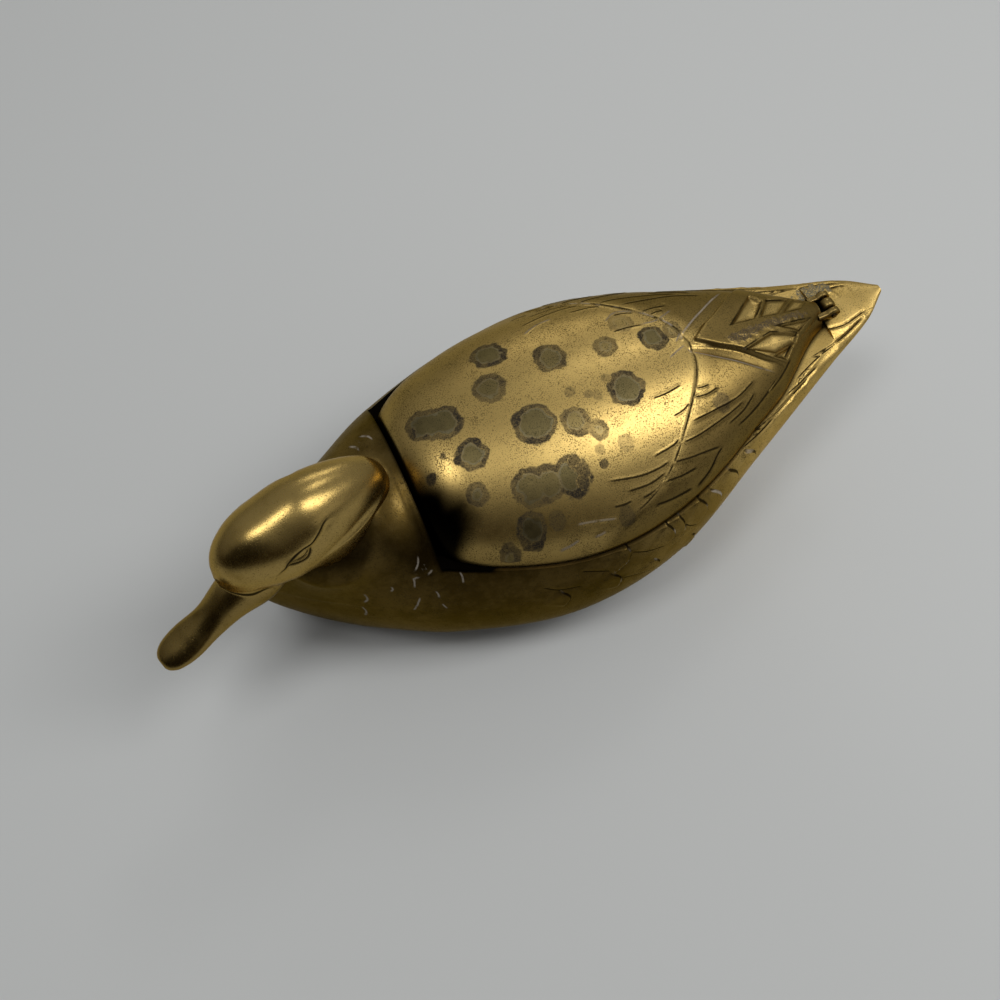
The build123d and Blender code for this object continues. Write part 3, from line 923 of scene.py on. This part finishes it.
def egg(lines, distance, side, lift):
    """Field of a tube of ellipses along the head's line, about a distance in millimetres."""
    within = np.clip(distance, lines[0][0], lines[-1][0])
    half, tall, middle, aside = (fair(lines, column, within) for column in (1, 2, 3, 4))
    field = (np.hypot((side - aside) / half, (lift - middle) / tall) - 1) * np.minimum(half, tall)
    return field + np.abs(distance - within) * 4


def melt(a, b, reach):
    """Lower of two fields, rounded over where they differ by less than reach."""
    mix = np.clip(0.5 + 0.5 * (b - a) / reach, 0, 1)
    return b + (a - b) * mix - reach * mix * (1 - mix)


def skull(distance, side, lift):
    """Field of the skull, whose front end stands straight down on the bill with no overhang."""
    propped = np.where(lift > bill_level, np.maximum(lift, forehead_lift), lift)
    standing = lift + (propped - lift) * ease((distance - 14.0) / 7.5)
    return egg(SKULL_LINES, distance, side, standing)


def head_field(distance, side, lift):
    """Skull melted into the bill with a small fillet, and both into the neck with a wide one."""
    face = melt(skull(distance, side, lift), egg(BILL_LINES, distance, side, lift), 1.2)
    return melt(face, neck(distance, side, lift), 6.0)


# %% [markdown]
# ## The face
# The chaser cut an almond eye under a long brow line and set the cheek back below it. A thin line
# marks where the feathers of the face end on the bill, and another along the bill parts its two
# halves. These cuts are drawn on the side of the head: distance along its line, and lift.

# %% Relief of the face
BROW = (
    (12.5, 1.8), (9.8, 3.5), (8.4, 4.3), (7.4, 5.5), (5.2, 6.4), (2.6, 6.8), (0, 6.8),
    (-2.5, 7.8), (-6, 9.1), (-10, 8.0),
)
EYES = (
    ((8.3, 4.2), (6.8, 3.7), (4.2, 3.0), (2.6, 3.2), (1.3, 4.4), (0.8, 6.0)),
    ((7.2, 5.0), (5.6, 4.6), (3.8, 4.4), (2.2, 4.9), (1.5, 5.8)),
)
MOUTH = ((24, -16.2), (31, -18.2), (38, -19.3), (45, -20.0))
eye_distance, eye_lift = 4.4, 5.5
cheek_depth, brow_height, eye_height = 0.8, 0.1, 0.35


def face_relief(distance, side, lift):
    """Cheek set back under the brow, almond eye, mouth, and where the face ends on the bill."""
    # Nothing is cut on top of the head or under it
    upright = ease((np.abs(side) - 3.0) / 2.0)
    gap, _, turn = from_curve(BROW, distance, lift)
    below = gap * turn
    fade = ease((BROW[0][0] - distance) / 4.5) * ease((distance - BROW[-1][0]) / 6.0)
    cheek = -cheek_depth * np.exp(-np.maximum(below, 0) / 6.0) * ease(below / 2.4 + 0.3)
    brow = brow_height * np.exp(-np.maximum(-below, 0) / 3.0) * ease(0.7 - below / 0.9)
    # Lids and ball of the eye, and the line between the halves of the bill
    lid_height, eye_lines = engrave(EYES, distance, lift, depth=0.25, width=0.35)
    mouth_height, mouth_lines = engrave((MOUTH,), distance, lift, depth=0.25)
    height = fade * (cheek + brow) + lid_height + mouth_height
    from_eye = np.hypot((distance - eye_distance) / 3.0, (lift - eye_lift) / 0.8)
    height += eye_height * ease(1.5 - from_eye)
    line = nearest(stroke(below, fade), eye_lines, mouth_lines)
    line[2] *= upright
    dirt = 0.6 * np.exp(-((below / 0.8) ** 2)) * fade * upright
    # The face ends where the fields of skull and bill are equal
    margin = skull(distance, side, lift) - egg(BILL_LINES, distance, side, lift)
    front = ease((distance - 12) / 4) * ease((lift + 15) / 4)
    line = nearest(line, stroke(margin, front))
    return height * upright, line, dirt


# %% [markdown]
# ## Finding the head's skin
# The skin lies where the melted field is zero. From a line inside the head, rays go out all round,
# and each one's last step inside and first step outside show where it leaves the metal. Marching
# cubes would find the skin too, but this grid has rows along the head, on which the face can be cut
# as evenly as on the lid.

# %% Rays from inside the head
# Inside line to look outwards from: distance along the head's line, lift
LOOK_FROM = (
    (-30.5, -25.0), (-28, -16.0), (-22, -7.0), (0, -2.0), (14, -4.5),
    (20, -6.4), (24, -11.6), (31.5, -16.0), (39, -18.0), (48, -19.6),
)
farthest = 46.0


def leaving(field, reach):
    """Where each ray leaves the metal for good, and which rows of rays have metal all round."""
    inside = field < 0
    last = np.where(inside.any(-1), len(reach) - 1 - np.argmax(inside[..., ::-1], -1), 0)
    last = np.minimum(last, len(reach) - 2)
    within, beyond = (np.take_along_axis(field, last[..., None] + i, -1)[..., 0] for i in (0, 1))
    share = np.clip(within / np.where(within == beyond, 1, within - beyond), 0, 1)
    return reach[last] + (reach[1] - reach[0]) * share, inside.any(-1).all(-1)


# Rows lie closest where the forehead stands on the bill
nape, face = np.linspace(-32.5, -12, 76)[:-1], np.linspace(-12, 16, 118)[:-1]
forehead = np.concatenate([np.linspace(16, 21, 20)[:-1], np.linspace(21, 24, 40)[:-1]])
distances = np.concatenate([nape, face, forehead, np.linspace(24, 47.9, 66)])
look = fair(LOOK_FROM, 1, np.clip(distances, LOOK_FROM[0][0], LOOK_FROM[-1][0]))
turns = np.linspace(0, 2 * np.pi, 261)[:-1]
reach = np.linspace(0.02, 1, 130) * farthest
ray_side, ray_up = (wave(turns)[None, :, None] * reach for wave in (np.sin, np.cos))
field = head_field(distances[:, None, None], ray_side, look[:, None, None] + ray_up)
radius, solid = leaving(field, reach)
print("rays:", radius.size, "rows in metal:", solid.sum())

# %% Build the head
radius = radius[solid]
spread = np.broadcast_to(distances[solid][:, None], radius.shape)
head_side = radius * np.sin(turns)
head_lift = look[solid][:, None] + radius * np.cos(turns)
head_grid = on_head_line(spread, head_side, head_lift)
relief = face_relief(spread, head_side, head_lift)[0]
head_grid = head_grid + outward_normals(head_grid) * relief[..., None]
head_piece = make_tube("head_casting", with_poles(head_grid))
along, beside, above = beside_head(*places(head_piece))
_, line, dirt = face_relief(along, beside, above)
# Crown and bill are worn, the throat is brown
polish = 0.05 + 0.57 * np.maximum(ease((above + 14) / 10), 0.6 * ease((along - 14) / 6))
paint(head_piece, dirt=dirt, polish=polish)
paint_lines(head_piece, line)
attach(head_piece, "duck_body")
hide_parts("head")
print("head:", len(head_piece.data.vertices), "points,", len(head_piece.data.polygons), "faces")

# %% [markdown]
# ## The hinge
# Three worn knuckles on a pin: the outer two belong to the lid, the middle one is soldered to the
# tail. The plain CAD blocks have sharp corners that years of handling would have rounded, so each
# knuckle is rebuilt from superellipse sections, whose height follows the round barrel.

# %% Build the knuckles
ear_middle, ear_half, ear_web = 3.1, 1.0, 1.3
lug_half, thinnest = 1.8, 0.05


def knuckle(name, middle, half, reach, web, foot=None):
    """Sections along the duck: a circle's height round the pin, a web before it, a foot below."""
    turn = np.linspace(0, np.pi / 2, 14)
    x = hinge_x + np.concatenate([-reach * np.sin(turn[:0:-1]), barrel_radius * np.sin(turn)])
    least = np.where(x < hinge_x, web, thinnest)
    rise = np.sqrt(np.maximum(barrel_radius ** 2 - (x - hinge_x) ** 2, least ** 2))
    low = hinge_z - rise if foot is None else np.full(len(x), foot)
    angle = np.linspace(0, 2 * np.pi, 41)[None, :-1]
    wide, tall = (np.sign(wave) * np.sqrt(np.abs(wave)) for wave in (np.cos(angle), np.sin(angle)))
    y = np.broadcast_to(middle + half * wide, (len(x), wide.shape[1]))
    z = ((hinge_z + rise + low)[:, None] + (hinge_z + rise - low)[:, None] * tall) / 2
    piece = make_tube(name, closed_tube(x, y, z))
    height = places(piece)[2]
    # Painted shading and wear: the lower half stays dark aged brass as painted shade, the top
    # brighter
    paint(piece, polish=0.5 * ease((height - hinge_z) / barrel_radius))
    return piece


ear_reach = hinge_x - lid_tail_end + 1.5
lug_foot = hinge_z - 2 * barrel_radius
left_ear = knuckle("left_ear_knuckle", -ear_middle, ear_half, ear_reach, ear_web)
right_ear = knuckle("right_ear_knuckle", ear_middle, ear_half, ear_reach, ear_web)
lug = knuckle("lug_knuckle", 0.0, lug_half, barrel_radius, thinnest, lug_foot)
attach(left_ear, "duck_lid")
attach(right_ear, "duck_lid")
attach(lug, "duck_body")
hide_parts("left_hinge_ear")
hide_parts("right_hinge_ear")
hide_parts("hinge_lug")
print("knuckles:", [len(piece.data.polygons) for piece in (left_ear, right_ear, lug)], "faces")

# %% [markdown]
# ## Writing shaders as sums
# A finish is arithmetic: so much clean brass, so much brown patina, a little dirt. The class below
# wraps a node's output so that Python's own plus, minus and times add the Math nodes. Everything
# else comes from one method that takes a node's type, its settings and its sockets.

# %% Sockets that can be calculated with
class Value:
    """An output socket that turns Python arithmetic into Math nodes."""

    def __init__(self, finish, socket):
        self.finish, self.socket = finish, socket

    def math(self, operation, first, second):
        """Math node that takes two values or numbers."""
        return self.finish.node("ShaderNodeMath", {"operation": operation}, {0: first, 1: second})

    def __add__(self, other):
        return self.math("ADD", self, other)

    def __sub__(self, other):
        return self.math("SUBTRACT", self, other)

    def __mul__(self, other):
        return self.math("MULTIPLY", self, other)

    def __rsub__(self, other):
        return self.math("SUBTRACT", other, self)

    __radd__ = __add__
    __rmul__ = __mul__


# %% Materials and worlds made by one method
class Finish:
    """A material or a world whose nodes are made and wired by one method."""

    def __init__(self, owner, shader="Principled BSDF", coordinates="Object"):
        owner.use_nodes = True
        self.owner, self.tree = owner, owner.node_tree
        self.shader = self.tree.nodes[shader]
        self.coordinates = self.node("ShaderNodeTexCoord", {}, {}, coordinates)

    def wire(self, socket, value):
        """Link a calculated value to a socket, or set a plain one; a plain colour is opaque."""
        if isinstance(value, Value):
            self.tree.links.new(value.socket, socket)
        elif socket.type == "RGBA":
            socket.default_value = (*value, 1)
        else:
            socket.default_value = value

    def node(self, kind, settings, sockets, output=0):
        """Any node by its type, with its settings, then its sockets; gives one of its outputs."""
        made = self.tree.nodes.new(kind)
        for name, value in settings.items():
            setattr(made, name, value)
        for name, value in sockets.items():
            self.wire(made.inputs[name], value)
        return Value(self, made.outputs[output])

    def layer(self, name):
        """What was painted on the piece's points under this name."""
        return self.node("ShaderNodeAttribute", {"attribute_name": name}, {}, "Fac")

    def noise(self, size, detail=3.0, roughness=0.55):
        """Cloudy noise whose lumps are about size millimetres across."""
        sockets = {"Vector": self.coordinates, "Scale": 1 / (size * MM)}
        sockets.update({"Detail": detail, "Roughness": roughness})
        return self.node("ShaderNodeTexNoise", {}, sockets, "Fac")

    def between(self, value, low, high):
        """Smooth step: 0 where value is under low, 1 where it is over high."""
        limits = {"Value": value, "From Min": low, "From Max": high}
        return self.node("ShaderNodeMapRange", {"interpolation_type": "SMOOTHSTEP"}, limits)

    def blend(self, share, first, second):
        """Colour that goes from first to second as share goes from 0 to 1."""
        return self.node("ShaderNodeMix", {"data_type": "RGBA"}, {0: share, 6: first, 7: second}, 2)

    def set(self, **sockets):
        """Sockets of the shader itself, named with _ for a blank."""
        for name, value in sockets.items():
            self.wire(self.shader.inputs[name.replace("_", " ")], value)


# %% [markdown]
# ## Aged brass
# Brass that nobody polishes goes brown where fingers don't reach and stays gold on the high
# places. The same layer also carries painted shading: brighter rear flanks, darker knuckle bottoms.
# Fine dark pits, dirt or chalky old polish in the drawn lines, solder crust and the lid's tarnish
# rings finish it. Painted shade comes last: it blackens the metal without dulling it, as on the
# lid's front, where it stands for the dark neck mirrored there. One recipe with a few settings
# makes all five finishes.

# %% Colours of age and of painted shade, each a darker and a paler one where there are two
SPECK, DIRT, INK = (0.045, 0.032, 0.013), (0.006, 0.004, 0.002), (0.012, 0.008, 0.004)
CHALK, PAINTED_SHADE = (0.36, 0.32, 0.27), (0.002, 0.0015, 0.001)
RIM, INNER_LINE = (0.018, 0.018, 0.020), (0.36, 0.33, 0.24)
OLIVE = ((0.035, 0.033, 0.019), (0.13, 0.112, 0.052))
STRIP_CAKE = ((0.03, 0.021, 0.014), (0.13, 0.10, 0.068))
VERDIGRIS = ((0.06, 0.06, 0.045), (0.20, 0.21, 0.18))


# %% Marks of drops and of drawn lines
def drop_marks(finish, fine, grain, stain):
    """Disc, rim and inner line of a dried drop: steps of the depth inside its ragged outline."""
    depth = (finish.layer("drop") - 0.5) * 8.0 + (fine - 0.5) * 1.2
    patch = finish.noise(5.0, 2.0)
    disc = finish.between(depth + (patch - 0.5) * 2.6, 1.0, 1.6)
    uneven = finish.between(patch, 0.35, 0.6) * -0.4 + 0.7 + finish.between(grain, 0.36, 0.56) * 0.3
    rim = finish.between(depth, -0.6, 0.0) * (1 - disc) * (0.45 + uneven * 0.55) * stain
    inner = finish.between(depth, 1.1, 1.5) * (1 - finish.between(depth, 1.7, 2.1)) * stain
    return disc * stain, rim, inner


def line_marks(finish, fine, ink, fade):
    """Ink and chalk of the nearest stroke: within a ragged distance of it, by its paleness."""
    signed = (finish.layer("line") - 0.5) * 4.0
    off_line = finish.node("ShaderNodeMath", {"operation": "ABSOLUTE"}, {0: signed})
    edge = finish.between(off_line + (fine - 0.5) * 0.25, ink - 0.12, ink + 0.12)
    drawn_line, pale = (1 - edge) * fade, finish.layer("line_pale")
    return drawn_line * (1 - pale), drawn_line * pale * finish.between(fine, 0.25, 0.5)


# %% One recipe for every brass
def brass(name, aged, worn, browning, roughness, specks, ink=0.24, cake=STRIP_CAKE, marks=1.0):
    """Aged gold and brown, worn bright by polish and painted shading; then specks, drops, dirt,
    crust, lines and painted shade.
    """
    finish = Finish(bpy.data.materials.new(name))
    clouds, fine = finish.noise(22.0, 4.0), finish.noise(2.2, 5.0, 0.65)
    grain, polish = finish.noise(0.45, 2.0), finish.layer("polish")
    settled = ("dirt", "crust", "stain", "shade", "line_fade")
    dirt, crust, stain, shade, line_fade = (finish.layer(layer) * marks for layer in settled)

    patches = clouds * 0.45 + finish.noise(6.0, 4.0, 0.65) * 0.35 + fine * 0.2
    age = finish.between(patches, 0.60 - browning, 0.80 - browning) * (1 - polish * 0.6)
    gold, brown = (finish.blend(polish, aged[i], worn[i]) for i in (0, 1))
    colour = finish.blend(age, gold, brown)
    speck_map = finish.noise(0.36, 2.0, 0.6) * 0.8 + finish.noise(7.0, 2.0) * 0.2
    specked = finish.between(speck_map, 0.58 - specks, 0.68 - specks)
    colour = finish.blend(specked * 0.7, colour, SPECK)

    disc, rim, inner = drop_marks(finish, fine, grain, stain)
    colour = finish.blend(disc * 0.85, colour, finish.blend(fine, *OLIVE))
    colour = finish.blend(inner * fine * 0.3, colour, INNER_LINE)
    colour = finish.blend(rim * 0.95, colour, RIM)

    grimy = finish.between(dirt + (fine - 0.5) * 0.5, 0.25, 0.8)
    colour = finish.blend(grimy * 0.92, colour, DIRT)
    caked = finish.between(crust + (fine - 0.5) * 0.8, 0.3, 0.7)
    caked = caked * (1 - finish.between(grain, 0.48, 0.58) * 0.8)
    colour = finish.blend(caked * 0.85, colour, finish.blend(fine * 0.5 + grain * 0.5, *cake))
    inked, chalk = line_marks(finish, fine, ink, line_fade)
    colour = finish.blend(inked * 0.9, colour, INK)
    colour = finish.blend(chalk * 0.8, colour, CHALK)
    # Painted shade last: black that stands for shade and dark reflections, the metal kept shiny
    colour = finish.blend(shade, colour, PAINTED_SHADE)

    dull = finish.between(grimy + chalk + inked + caked + rim * 0.8 + disc * 0.4, 0.0, 1.2)
    earthy = finish.between(chalk + grimy * 0.5 + caked * 0.8 + rim * 0.4, 0.0, 1.2)
    finish.set(Base_Color=colour, Specular_IOR_Level=0.2, Specular_Tint=(0.85, 0.72, 0.48))
    finish.set(Metallic=1.0 - earthy * 0.85)
    finish.set(Roughness=roughness + (fine - 0.5) * 0.16 + dull * 0.35 + specked * 0.2)
    height = fine * 0.5 + grain * 0.5 - specked * 0.5 - rim * 0.4 + caked * fine * 2.0 - inked * 1.5
    bump = {"Height": height, "Strength": 0.14, "Distance": 0.25 * MM}
    finish.set(Normal=finish.node("ShaderNodeBump", {}, bump, "Normal"))
    return finish.owner


# %% The five finishes
# Gold and brown of each brass: worn where hands rub it, aged and deep where they don't
worn = ((0.60, 0.42, 0.14), (0.33, 0.21, 0.045))
aged = ((0.070, 0.042, 0.008), (0.034, 0.019, 0.003))
deep = ((0.046, 0.026, 0.005), (0.022, 0.012, 0.002))
raw = ((0.11, 0.078, 0.045), (0.045, 0.031, 0.022))
dull = ((0.09, 0.062, 0.026), (0.045, 0.032, 0.018))
# Colours aged and worn, then browning, roughness and specks
lid_brass = brass("lid_brass", aged, worn, 0.03, 0.34, 0.06)
body_brass = brass("body_brass", deep, worn, 0.20, 0.38, 0.04, cake=VERDIGRIS)
head_brass = brass("head_brass", aged, worn, 0.10, 0.27, 0.0, ink=0.38)
hinge_brass = brass("hinge_brass", dull, worn, 0.20, 0.34, 0.03)
raw_brass = brass("raw_brass", raw, raw, 0.20, 0.60, 0.05, marks=0.0)
for piece, finish in ((lid_piece, lid_brass), (body_piece, body_brass), (head_piece, head_brass)):
    piece.data.materials[0] = finish
    piece.data.materials[1] = raw_brass
for piece in (left_ear, right_ear, lug):
    piece.data.materials[0] = hinge_brass
for slot in frame["nodes"]["hinge_pin"].material_slots:
    slot.material = hinge_brass
finishes = (lid_brass, body_brass, head_brass, hinge_brass, raw_brass)
print("finishes:", [made.name for made in finishes])

# %% [markdown]
# ## Floor, light and camera
# Metal is only as good as what it mirrors. A long soft panel on the right makes the broad gleam
# on the wings, one on the left the gleams on crown and mantle, and a small one a spark between
# them. Low panels near and far light the two flanks. The room is pale on one side and dark on the
# other, and darkest behind the viewer, which gives the head and the lid's front their deep tones;
# on the lid's front, painted shade adds to it.

# %% Floor
floor_mesh = bpy.data.meshes.new("floor")
floor_half = 3
corners = [(-1, -1, 0), (1, -1, 0), (1, 1, 0), (-1, 1, 0)]
floor_mesh.from_pydata(np.array(corners) * floor_half, [], [(0, 1, 2, 3)])
floor = bpy.data.objects.new("floor", floor_mesh)
bpy.context.collection.objects.link(floor)
pale = Finish(bpy.data.materials.new("pale_floor"))
pale.set(Base_Color=(0.64, 0.65, 0.64), Roughness=0.9)
floor.data.materials.append(pale.owner)
print("floor:", 2 * floor_half, "m wide")


# %% Lights
def panel(name, direction, distance, size, watts):
    """Area light of a given size, placed in a direction from the duck's back and facing it."""
    lamp = bpy.data.lights.new(name, "AREA")
    lamp.shape, lamp.energy = "RECTANGLE", watts
    lamp.size, lamp.size_y = size
    back = Vector((0.0, 0.0, 0.06))
    towards = Vector(direction).normalized()
    light = bpy.data.objects.new(name, lamp)
    light.location = back + towards * distance
    light.rotation_euler = towards.to_track_quat("Z", "Y").to_euler()
    bpy.context.collection.objects.link(light)
    return light


# Direction from the duck, distance and size in metres, watts
panel("right_panel", (0.55, -0.2, 0.81), 1.0, (0.34, 0.6), 3.6)
panel("left_panel", (-0.3, 0.0, 0.95), 1.0, (0.26, 0.34), 1.7)
panel("small_panel", (0.5, 0.55, 0.67), 1.0, (0.2, 0.2), 0.5)
panel("near_panel", (0.66, -0.68, 0.30), 1.2, (0.7, 0.4), 0.35)
panel("far_panel", (0.35, 0.89, 0.29), 1.2, (0.4, 0.14), 0.7)
print("panels:", [light.name for light in bpy.data.lights])

# %% The room that the brass mirrors
PALE_SIDE, DARK_SIDE, VIEWER = (0.34, 0.345, 0.35), (0.024, 0.016, 0.006), (0.008, 0.005, 0.002)
room = Finish(bpy.data.worlds.new("room"), "Background", "Generated")
bpy.context.scene.world = room.owner


def facing(way):
    """Cosine of the angle between where one looks and a given way."""
    sockets = {0: room.coordinates, 1: way}
    return room.node("ShaderNodeVectorMath", {"operation": "DOT_PRODUCT"}, sockets, "Value")


sky = room.blend(room.between(facing((0.35, 0.5, 0.79)), -0.4, 0.9), DARK_SIDE, PALE_SIDE)
sky = room.blend(room.between(facing((-0.62, -0.52, 0.58)), 0.80, 0.92), sky, VIEWER)
room.set(Color=sky, Strength=1.0)
print("room nodes:", len(room.tree.nodes))

# %% Camera
camera_data = bpy.data.cameras.new("camera")
camera_data.sensor_width, camera_data.lens = 36.0, 36.0
camera = bpy.data.objects.new("camera", camera_data)
place = Vector((-0.065235, -0.117995, 0.309638))
right = Vector((0.90672866, -0.42171453, 0.0))
up = Vector((0.38595537, 0.82984288, 0.4029879))
back = Vector((-0.16994585, -0.36540067, 0.91520531))
turn = Matrix((right, up, back)).transposed().to_4x4()
camera.matrix_world = Matrix.Translation(place) @ turn
bpy.context.collection.objects.link(camera)
bpy.context.scene.camera = camera
bpy.context.scene.view_settings.view_transform = "Standard"
print(f"camera {place.z / MM:.0f} mm above the floor")
